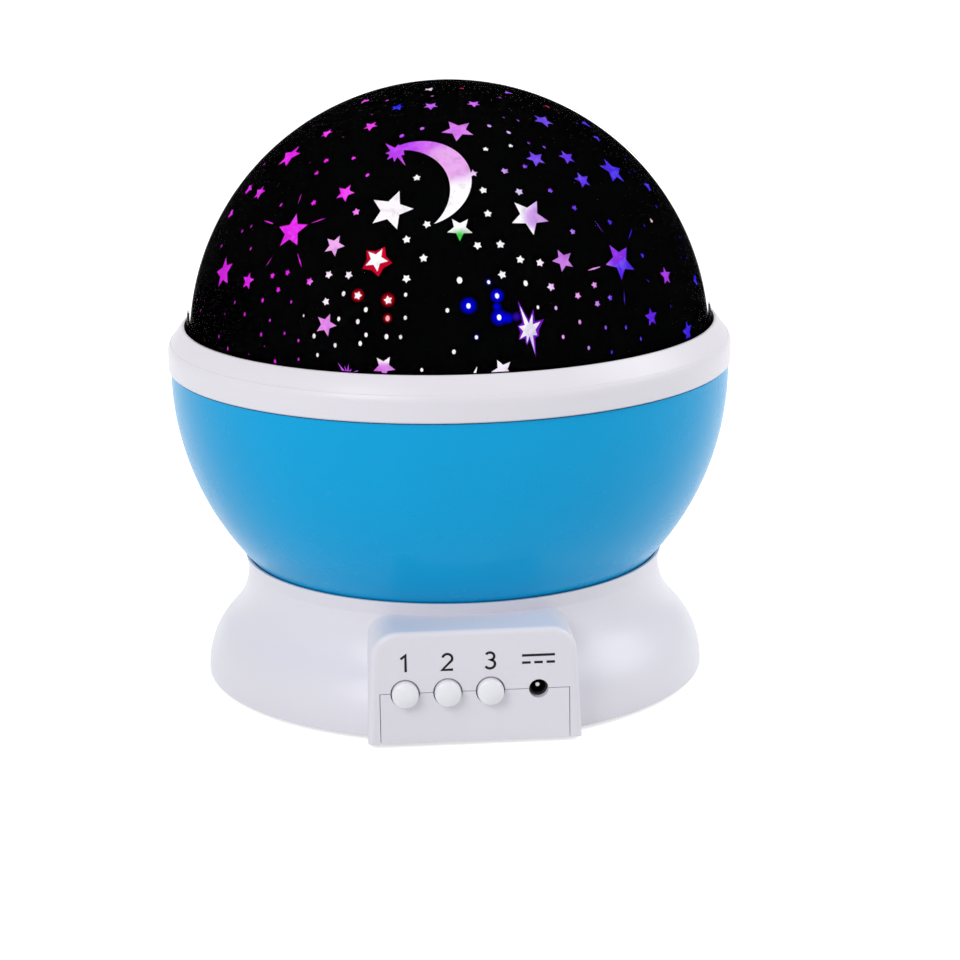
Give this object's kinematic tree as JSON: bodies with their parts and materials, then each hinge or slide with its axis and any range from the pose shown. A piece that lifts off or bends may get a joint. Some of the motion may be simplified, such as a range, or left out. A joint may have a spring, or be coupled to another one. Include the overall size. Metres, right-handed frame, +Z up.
{
  "type": "star night light projector",
  "caption": "Table night light: a star-pierced dome over coloured lamps turns with its bowl on a flared base with push buttons and a DC inlet.",
  "frame": {"origin": "on the spin axis, at the bottom of the feet", "axes": "+Z up along the spin axis, -Y out of the control panel, +X to the right seen from the panel"},
  "size_m": [0.1342, 0.1342, 0.1435],
  "materials": {
    "white_shell": "semi-gloss moulded",
    "button_white": "gloss",
    "white_inner": "matte",
    "blue_bowl": "gloss",
    "clear": "clear moulded acrylic",
    "black_mask": "satin",
    "film": "translucent",
    "rubber": "matte",
    "circuit_board": "solder mask",
    "black_plastic": "matte",
    "steel": "plated",
    "brass_gearbox": "satin",
    "led_lens": "moulded epoxy",
    "wire": "insulated",
    "cell_wrap": "satin"
  },
  "bodies": {
    "base": {"base_shell": "white_shell", "bottom_cover": "white_shell", "rubber_feet": "rubber", "base_screws": "steel", "battery_springs": "steel", "battery_plates": "steel", "control_board": "circuit_board", "dc_jack": "black_plastic", "dc_jack_pin": "steel", "center_tower": "white_inner", "tower_screws": "steel", "retaining_plate": "white_inner", "retaining_screws": "steel", "motor_gearbox": "brass_gearbox", "motor_can": "steel", "motor_bracket": "steel", "motor_screws": "steel", "glide_ring": "white_inner", "led_board": "circuit_board", "led_board_screws": "steel", "led_lead": "wire", "motor_lead": "wire", "battery_lead": "wire", "battery_cell_1": "cell_wrap", "battery_cell_2": "cell_wrap", "battery_cell_3": "cell_wrap", "battery_cell_4": "cell_wrap", "led_white": "led_lens", "led_red": "led_lens", "led_green": "led_lens", "led_blue": "led_lens", "switch_body_1": "black_plastic", "switch_body_2": "black_plastic", "switch_body_3": "black_plastic"},
    "globe": {"bowl": "blue_bowl", "gear_ring": "white_inner", "rim_ring": "white_shell", "reflector_plate": "white_inner", "reflector_screws": "steel"},
    "dome": {"clear_dome": "clear", "star_mask": "black_mask", "star_film": "film"},
    "pinion": {"drive_pinion": "white_inner", "motor_shaft": "steel"},
    "door": {"battery_door": "white_shell"},
    "button_1": {"button_cap_1": "button_white", "switch_plunger_1": "black_plastic"},
    "button_2": {"button_cap_2": "button_white", "switch_plunger_2": "black_plastic"},
    "button_3": {"button_cap_3": "button_white", "switch_plunger_3": "black_plastic"}
  },
  "joints": [
    {"name": "globe_spin", "type": "hinge", "parent": "base", "child": "globe", "pos_m": [0, 0, 0.0231], "axis": [0, 0, 1], "continuous": true},
    {"name": "pinion_spin", "type": "hinge", "parent": "base", "child": "pinion", "pos_m": [0, 0.0232, 0.0277], "axis": [0, 0, 1], "continuous": true},
    {"name": "dome_twist", "type": "hinge", "parent": "globe", "child": "dome", "pos_m": [0, 0, 0.0797], "axis": [0, 0, 1], "range_deg": [0, 24]},
    {"name": "battery_door_hinge", "type": "hinge", "parent": "base", "child": "door", "pos_m": [0, 0.0302, 0.001], "axis": [1, 0, 0], "range_deg": [0, 80]},
    {"name": "button_1_press", "type": "slide", "parent": "base", "child": "button_1", "axis": [0, 1, 0], "range_m": [0, 0.0015], "stiffness_N_per_m": 500, "springref_m": -0.0015},
    {"name": "button_2_press", "type": "slide", "parent": "base", "child": "button_2", "axis": [0, 1, 0], "range_m": [0, 0.0015], "stiffness_N_per_m": 500, "springref_m": -0.0015},
    {"name": "button_3_press", "type": "slide", "parent": "base", "child": "button_3", "axis": [0, 1, 0], "range_m": [0, 0.0015], "stiffness_N_per_m": 500, "springref_m": -0.0015}
  ],
  "couplings": [
    {"joint": "pinion_spin", "follows": "globe_spin", "ratio": 5.1429}
  ]
}
